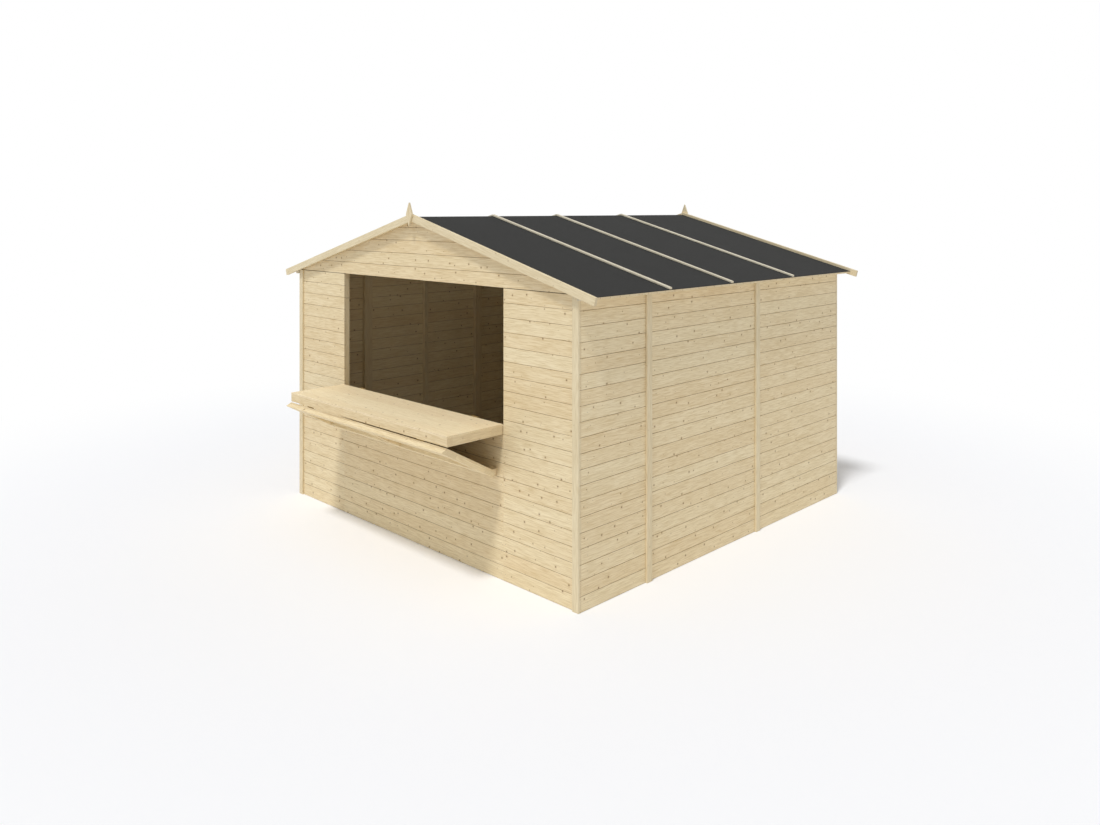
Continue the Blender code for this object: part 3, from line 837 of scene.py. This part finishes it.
def add_prism(piece, matrix, outline, move, along, face):
    """Add a timber whose outline of corners is drawn out by a move."""
    mesh = bmesh.new()
    near = [mesh.verts.new(corner) for corner in outline]
    far = [mesh.verts.new(Vector(corner) + Vector(move)) for corner in outline]
    mesh.faces.new(near)
    mesh.faces.new(far)
    for number in range(len(outline)):
        mesh.faces.new((near[number - 1], near[number], far[number], far[number - 1]))
    bmesh.ops.recalc_face_normals(mesh, faces=mesh.faces)
    finish_timber(piece, mesh, matrix, along, face)


def dress(node, along, face, material, slot, width=EDGE):
    """A CAD node's own shape with eased arrises and grain."""
    mesh = bmesh.new()
    mesh.from_mesh(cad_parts[node].data)
    bmesh.ops.remove_doubles(mesh, verts=mesh.verts, dist=SAME_PLACE)
    bmesh.ops.dissolve_limit(mesh, angle_limit=FLAT, verts=mesh.verts, edges=mesh.edges)
    bmesh.ops.translate(mesh, verts=mesh.verts, vec=-ZERO)
    grain_layers(mesh)
    soften(mesh, width)
    mark_grain(mesh, along.normalized(), face.normalized())
    return Piece(mesh).done(f"{node}_finished", "stall", slot, material, node)


# Walls and gables


def studs_between(start, end):
    """Studs of one panel: one at each end, and evenly spaced ones between."""
    bays = max(1, round((end - start) / STUD_SPACING))
    spacing = (end - start - STUD_WIDTH) / bays
    return [start + spacing * number for number in range(bays + 1)]


def add_frame(piece, matrix, start, joints, end, top):
    """Add the rails and studs of a wall's panels."""
    near = CLADDING
    far = CLADDING + STUD_DEPTH
    edges = [start, *joints, end]
    for left, right in zip(edges, edges[1:]):
        for low, high in ((0.0, STUD_WIDTH), (top - STUD_WIDTH, top)):
            add_timber(piece, matrix, (left, near, low), (right, far, high), "x")
        for stud in studs_between(left, right):
            add_timber(
                piece,
                matrix,
                (stud, near, STUD_WIDTH),
                (stud + STUD_WIDTH, far, top - STUD_WIDTH),
                "z",
            )


def add_nails(piece, matrix, start, end, top):
    """Add a row of nails up each stud of one panel."""
    studs = studs_between(start, end)
    spacing = studs[1] - studs[0]
    rows = int(top / COURSE + SLIVER)
    data = grow(
        NAILS,
        {
            "Columns": len(studs),
            "Spacing": spacing,
            "Rows": rows,
            "Seed": chance.randrange(*SEEDS),
            "Material": NAIL,
        },
    )
    shift = Matrix.Translation((studs[0] + STUD_WIDTH / 2, 0, COURSE / 2))
    piece.take(data, matrix @ shift)


def clad_wall(name, nodes, matrix, spans, top, frame_span, joints, rise=0.0):
    """Boards, frame and nails of a wall. Spans are its runs of boards."""
    boards = Piece()
    count = math.ceil(top / COURSE - SLIVER)
    for start, end in spans:
        add_courses(
            boards,
            matrix @ Matrix.Translation((start, 0, 0)),
            end - start,
            COURSE,
            count,
            top=top,
            rise=rise,
        )
    boards.done(f"{name}_boards", "stall", "wall_timber", CLAD, *nodes)
    skeleton = Piece()
    add_frame(skeleton, matrix, frame_span[0], joints, frame_span[1], top)
    skeleton.done(f"{name}_frame", "stall", "wall_timber", ROUGH, *nodes)
    heads = Piece()
    edges = [frame_span[0], *joints, frame_span[1]]
    for left, right in zip(edges, edges[1:]):
        add_nails(heads, matrix, left, right, top)
    heads.done(f"{name}_nails", "stall", "zinc_hinge", NAIL)


def build_walls():
    """The closed walls and the panels around the hatch."""
    edge = CLADDING + TOUCH
    inner = CLADDING + STUD_DEPTH + TOUCH
    front = wall_matrix((0, 0, 0), 0)
    left_end = HATCH_LEFT - TOUCH
    right_start = HATCH_RIGHT + TOUCH
    clad_wall(
        "front_left", ["front_wall_left"], front, [(0, left_end)], WALL_TOP, (edge, left_end), ()
    )
    clad_wall(
        "front_right",
        ["front_wall_right"],
        front,
        [(right_start, WIDTH)],
        WALL_TOP,
        (right_start, WIDTH - edge),
        (),
    )
    clad_wall(
        "below_hatch",
        ["front_wall_below_hatch"],
        front,
        [(HATCH_LEFT, HATCH_RIGHT)],
        SILL,
        (HATCH_LEFT, HATCH_RIGHT),
        (),
    )
    rear = wall_matrix((WIDTH, DEPTH, 0), math.pi)
    clad_wall(
        "rear",
        ["rear_wall"],
        rear,
        [(0, MIDDLE), (MIDDLE, WIDTH)],
        WALL_TOP,
        (edge, WIDTH - edge),
        (MIDDLE,),
    )
    right = wall_matrix((WIDTH, 0, 0), math.pi / 2)
    left = wall_matrix((0, DEPTH, 0), -math.pi / 2)
    first, second = SIDE_PANEL_JOINTS
    for name, matrix, joints in (
        ("right", right, (first, second)),
        ("left", left, (DEPTH - second, DEPTH - first)),
    ):
        edges = (edge, *joints, DEPTH - edge)
        clad_wall(
            name,
            [f"{name}_wall"],
            matrix,
            list(zip(edges, edges[1:])),
            SIDE_TOP,
            (inner, DEPTH - inner),
            joints,
            PITCH,
        )


def gable_parts(base):
    """Outlines in x and z of a gable frame's rail, post and rafters, and how each lies."""
    fall = STUD_WIDTH / math.cos(SLOPE)
    rail = GABLE_BASE + STUD_WIDTH
    post = STUD_WIDTH / 2
    heel = (SEAT_APEX - rail) / PITCH
    foot = heel - fall / PITCH
    end = MIDDLE - CLADDING - TOUCH
    tip = SEAT_APEX - end * PITCH
    shoulder = SEAT_APEX - post * PITCH - fall
    rail_outline = [
        (MIDDLE - end, base),
        (MIDDLE + end, base),
        (MIDDLE + end, tip),
        (MIDDLE + heel, rail),
        (MIDDLE - heel, rail),
        (MIDDLE - end, tip),
    ]
    post_outline = [
        (MIDDLE - post, rail),
        (MIDDLE + post, rail),
        (MIDDLE + post, shoulder),
        (MIDDLE, SEAT_APEX - fall),
        (MIDDLE - post, shoulder),
    ]
    parts = [(rail_outline, AXES["x"]), (post_outline, AXES["z"])]
    for side in (1, -1):
        rafter_outline = [
            (MIDDLE + side * foot, rail),
            (MIDDLE + side * heel, rail),
            (MIDDLE, SEAT_APEX),
            (MIDDLE, SEAT_APEX - fall),
        ]
        parts.append((rafter_outline, Vector((side, 0, -PITCH))))
    return parts


def build_gables():
    """Boards and frames of both gables."""
    # The rear gable's rail reaches down to the wall, so no daylight shows in the seam there.
    for name, turn, corner, near, base in (
        ("front", 0, (0, 0, 0), CLADDING, GABLE_BASE),
        ("rear", math.pi, (WIDTH, DEPTH, 0), DEPTH - CLADDING - STUD_DEPTH, WALL_TOP),
    ):
        boards = Piece()
        add_courses(
            boards,
            wall_matrix(corner, turn),
            WIDTH,
            COURSE,
            math.ceil(SEAT_APEX / COURSE),
            base=GABLE_BASE,
            apex=SEAT_APEX,
        )
        # Courses below the gable are squeezed flat on its base, and go.
        bare = {vert for vert in boards.mesh.verts if vert.co.z < GABLE_BASE + ON_BASE}
        flat = [face for face in boards.mesh.faces if bare.issuperset(face.verts)]
        bmesh.ops.delete(boards.mesh, geom=flat, context="FACES")
        loose = [vert for vert in boards.mesh.verts if not vert.link_faces]
        bmesh.ops.delete(boards.mesh, geom=loose, context="VERTS")
        boards.done(f"{name}_gable_boards", "stall", "wall_timber", CLAD, f"{name}_gable")
        skeleton = Piece()
        for outline, along in gable_parts(base):
            corners = [(x, near, z) for x, z in outline]
            add_prism(skeleton, STILL, corners, (0, STUD_DEPTH, 0), along, AXES["y"])
        skeleton.done(f"{name}_gable_frame", "stall", "wall_timber", ROUGH, f"{name}_gable")


# Roof


def build_roof():
    """Roof boards of both slopes, the felt, and the timbers under and over them."""
    low, high = plan_box("roof_boards_right")
    course = (high.y - low.y) / ROOF_COURSES
    crown = Vector((MIDDLE, 0, SEAT_APEX + TOUCH))
    length = (high.x - MIDDLE - TOUCH) / math.cos(SLOPE)

    def plumb(point):
        return Vector((point.x - point.y * PITCH, point.y, point.z))

    for side, sign in (("right", 1), ("left", -1)):
        down = Vector((sign * math.cos(SLOPE), 0, -math.sin(SLOPE)))
        up = Vector((sign * math.sin(SLOPE), 0, math.cos(SLOPE)))
        start = crown + Vector((sign * TOUCH / 2, high.y if sign > 0 else low.y, 0))
        boards = Piece()
        add_courses(
            boards,
            axes_matrix(start, down, up),
            length,
            course,
            ROOF_COURSES,
            depth=ROOF_BOARD,
            shape=plumb,
        )
        boards.done(
            f"roof_boards_{side}_boards", "stall", "roof_timber", CLAD, f"roof_boards_{side}"
        )
        dress(f"eave_strip_{side}", AXES["y"], AXES["x"], BATTEN, "roof_timber")
        dress(f"purlin_{side}", AXES["y"], up, ROUGH, "roof_timber")
        for gable in ("front", "rear"):
            dress(f"{gable}_barge_board_{side}", down, AXES["y"], TRIM, "trim_timber")
    dress("ridge_beam", AXES["y"], AXES["x"], ROUGH, "roof_timber")
    for gable in ("front", "rear"):
        dress(f"{gable}_finial", AXES["z"], AXES["y"], TRIM, "trim_timber")
    for number in range(1, BATTENS + 1):
        dress_batten(f"roof_batten_{number}")
    dress("roof_felt", AXES["y"], AXES["z"], FELT, "roofing_felt", width=FELT_EDGE)


def dress_batten(node):
    """A batten over the ridge, with grain down each slope."""
    piece = dress(node, AXES["x"], AXES["z"], BATTEN, "trim_timber", width=BATTEN_EDGE)
    middle = ZERO.x + MIDDLE
    values = piece.data.attributes["grain"].data
    shift = any_shift()
    for vert, value in zip(piece.data.vertices, values):
        out = abs(vert.co.x - middle)
        down = out * math.cos(SLOPE) - vert.co.z * math.sin(SLOPE)
        up = out * math.sin(SLOPE) + vert.co.z * math.cos(SLOPE)
        value.vector = Vector((down, vert.co.y, up)) + shift


# Trims


def build_trims():
    """Corner trims, cover strips and the ledger."""
    for side in ("left", "right"):
        for place in ("front", "rear"):
            dress(f"{place}_corner_trim_{side}", AXES["z"], AXES["y"], TRIM, "trim_timber")
            dress(f"{side}_cover_strip_{place}", AXES["z"], AXES["x"], TRIM, "trim_timber")
    dress("rear_cover_strip", AXES["z"], AXES["y"], TRIM, "trim_timber")
    dress("prop_ledger", AXES["x"], AXES["y"], CLAD, "trim_timber")


# Counter and prop


def leaf_stiles(stile):
    """Starts of a leaf's three stiles."""
    middle = (HATCH_LEFT + HATCH_RIGHT - stile) / 2
    return HATCH_LEFT, middle, HATCH_RIGHT - stile


def build_counter():
    """Boarding on a frame of two rails and three stiles."""
    boards = Piece()
    reach = COUNTER_BACK - COUNTER_FRONT
    width = HATCH_RIGHT - HATCH_LEFT
    add_courses(
        boards,
        axes_matrix(Vector((HATCH_LEFT, COUNTER_FRONT, COUNTER_TOP)), AXES["x"], -AXES["z"]),
        width,
        reach / COUNTER_BOARDS,
        COUNTER_BOARDS,
        depth=COUNTER_BOARD,
        chamfer_height=COUNTER_CHAMFER,
        chamfer_depth=COUNTER_CHAMFER,
        seam=COUNTER_SEAM,
        material=COUNTER,
    )
    boards.done("counter_boards", "counter", "counter_timber", COUNTER, "counter")
    skeleton = Piece()
    top = COUNTER_TOP - COUNTER_BOARD
    front = COUNTER_FRONT + COUNTER_EDGE_RAIL
    back = COUNTER_BACK - COUNTER_REAR_RAIL
    for near, far in ((COUNTER_FRONT, front), (back, COUNTER_BACK)):
        add_timber(
            skeleton, STILL, (HATCH_LEFT, near, COUNTER_BOTTOM), (HATCH_RIGHT, far, top), "x", "y"
        )
    skeleton.done("counter_rails", "counter", "counter_timber", CLAD, "counter")
    stiles = Piece()
    for left in leaf_stiles(COUNTER_EDGE_RAIL):
        add_timber(
            stiles,
            STILL,
            (left, front, COUNTER_BOTTOM),
            (left + COUNTER_EDGE_RAIL, back, top),
            "y",
            "x",
        )
    stiles.done("counter_stiles", "counter", "counter_timber", ROUGH, "counter")


def build_prop():
    """Boarding over a frame, with its outer end bevelled."""
    heading = Vector((0, math.cos(PROP_SLOPE), -math.sin(PROP_SLOPE)))
    inward = Vector((0, -math.sin(PROP_SLOPE), -math.cos(PROP_SLOPE)))
    drop = TOUCH + HINGE_RADIUS
    axis = Vector((0, COUNTER_FRONT + PROP_SET_BACK, COUNTER_BOTTOM - drop))
    start = axis + inward * drop + Vector((HATCH_LEFT, 0, 0))
    place = axes_matrix(start, AXES["x"], inward)
    lean = math.tan(PROP_BEVEL)

    def bevelled(point):
        shift = lean * point.y if point.z < SAME_PLACE else 0
        return Vector((point.x, point.y, point.z - shift))

    width = HATCH_RIGHT - HATCH_LEFT
    boards = Piece()
    add_courses(
        boards,
        place,
        width,
        PROP_LENGTH / PROP_BOARDS,
        PROP_BOARDS,
        depth=PROP_BOARD,
        seam=PROP_SEAM,
        shape=bevelled,
    )
    boards.done("prop_boards", "prop", "prop_timber", CLAD, "prop")
    skeleton = Piece()
    far = PROP_BOARD + PROP_FRAME
    foot = PROP_LENGTH - PROP_RAIL
    # The outer rail's edge goes on with the bevel of the boards.
    outline = [
        (0, PROP_BOARD, -lean * PROP_BOARD),
        (0, PROP_BOARD, PROP_RAIL),
        (0, far, PROP_RAIL),
        (0, far, -lean * far),
    ]
    add_prism(skeleton, place, outline, (width, 0, 0), AXES["x"], AXES["y"])
    add_timber(skeleton, place, (0, PROP_BOARD, foot), (width, far, PROP_LENGTH), "x")
    for left in leaf_stiles(PROP_STILE):
        left -= HATCH_LEFT
        add_timber(
            skeleton, place, (left, PROP_BOARD, PROP_RAIL), (left + PROP_STILE, far, foot), "z"
        )
    skeleton.done("prop_frame", "prop", "prop_timber", CLAD, "prop")


def build_hinges():
    """The hinge plates as modelled, in zinc."""
    for side in ("left", "right"):
        for node in (
            f"sill_hinge_{side}",
            f"counter_hinge_{side}",
            f"prop_hinge_upper_{side}",
            f"prop_hinge_lower_{side}",
        ):
            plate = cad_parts[node]
            plate.data.materials.clear()
            plate.data.materials.append(ZINC)


# Light and view


def rays_that_show(tree):
    """One for rays that the camera, a reflection or a clear body sends out, else nought."""
    rays = add_node(tree, "ShaderNodeLightPath").outputs
    seen = calc(tree, "ADD", rays["Is Camera Ray"], rays["Is Glossy Ray"])
    seen = calc(tree, "ADD", seen, rays["Is Transmission Ray"])
    return calc(tree, "MINIMUM", seen, 1.0)


def build_stage():
    """A white floor that fades into a white surround."""
    mesh = bmesh.new()
    bmesh.ops.create_grid(mesh, x_segments=1, y_segments=1, size=FLOOR_REACH)
    bmesh.ops.translate(mesh, verts=mesh.verts, vec=(0, 0, -FLOOR_DROP))
    data = bpy.data.meshes.new("floor")
    mesh.to_mesh(data)
    mesh.free()
    floor = bpy.data.objects.new("floor", data)
    bpy.context.scene.collection.objects.link(floor)
    material, tree, shader = new_material("white_studio_floor")
    place = object_place(tree)
    base = mix_pair(tree, noise(tree, place, FLOOR_CLOUDS), FLOOR_COLOURS)
    tree.links.new(base, shader.inputs["Base Color"])
    shader.inputs["Roughness"].default_value = 1.0
    shader.inputs["Specular IOR Level"].default_value = 0.0
    # Far from the stall the floor turns as white as the surround, so no horizon shows.
    fade = spread(tree, length_of(tree, place), *FLOOR_FADE)
    share = calc(tree, "MULTIPLY", fade, rays_that_show(tree))
    glow = add_node(tree, "ShaderNodeEmission", {"Color": WHITE, "Strength": 1.0})
    mix = add_node(
        tree, "ShaderNodeMixShader", {0: share, 1: shader.outputs[0], 2: glow.outputs[0]}
    )
    tree.links.new(mix.outputs[0], tree.nodes["Material Output"].inputs[0])
    data.materials.append(material)


def build_light():
    """A white surround and one soft light from above the front, a little to the right."""
    world = bpy.data.worlds.new("studio")
    world.use_nodes = True
    tree = world.node_tree
    tree.nodes.clear()
    seen = add_node(tree, "ShaderNodeBackground", {"Color": WHITE, "Strength": 1.0})
    lit = add_node(tree, "ShaderNodeBackground", {"Color": WHITE, "Strength": SKY_LIGHT})
    mix = add_node(
        tree,
        "ShaderNodeMixShader",
        {0: rays_that_show(tree), 1: lit.outputs[0], 2: seen.outputs[0]},
    )
    out = add_node(tree, "ShaderNodeOutputWorld")
    tree.links.new(mix.outputs[0], out.inputs[0])
    bpy.context.scene.world = world
    lamp = bpy.data.lights.new("key", "SUN")
    lamp.energy = KEY_LIGHT
    lamp.angle = KEY_SPREAD
    key = bpy.data.objects.new("key", lamp)
    key.rotation_mode = "QUATERNION"
    key.rotation_quaternion = Vector(KEY_HEADING).to_track_quat("-Z", "Y")
    bpy.context.scene.collection.objects.link(key)


def build_camera():
    """The view of the photograph, taken level with its lens shifted down."""
    lens = bpy.data.cameras.new("view")
    lens.sensor_width = CAMERA_SENSOR
    lens.lens = CAMERA_LENS
    lens.shift_y = CAMERA_SHIFT_Y
    lens.clip_end = CAMERA_END
    view = bpy.data.objects.new("view", lens)
    view.location = ZERO + Vector(CAMERA_PLACE)
    view.rotation_euler = (math.pi / 2, 0, CAMERA_TURN)
    bpy.context.scene.collection.objects.link(view)
    bpy.context.scene.camera = view


build_walls()
build_gables()
build_roof()
build_trims()
build_counter()
build_prop()
build_hinges()
build_stage()
build_light()
build_camera()
bpy.context.scene.view_settings.view_transform = "Standard"
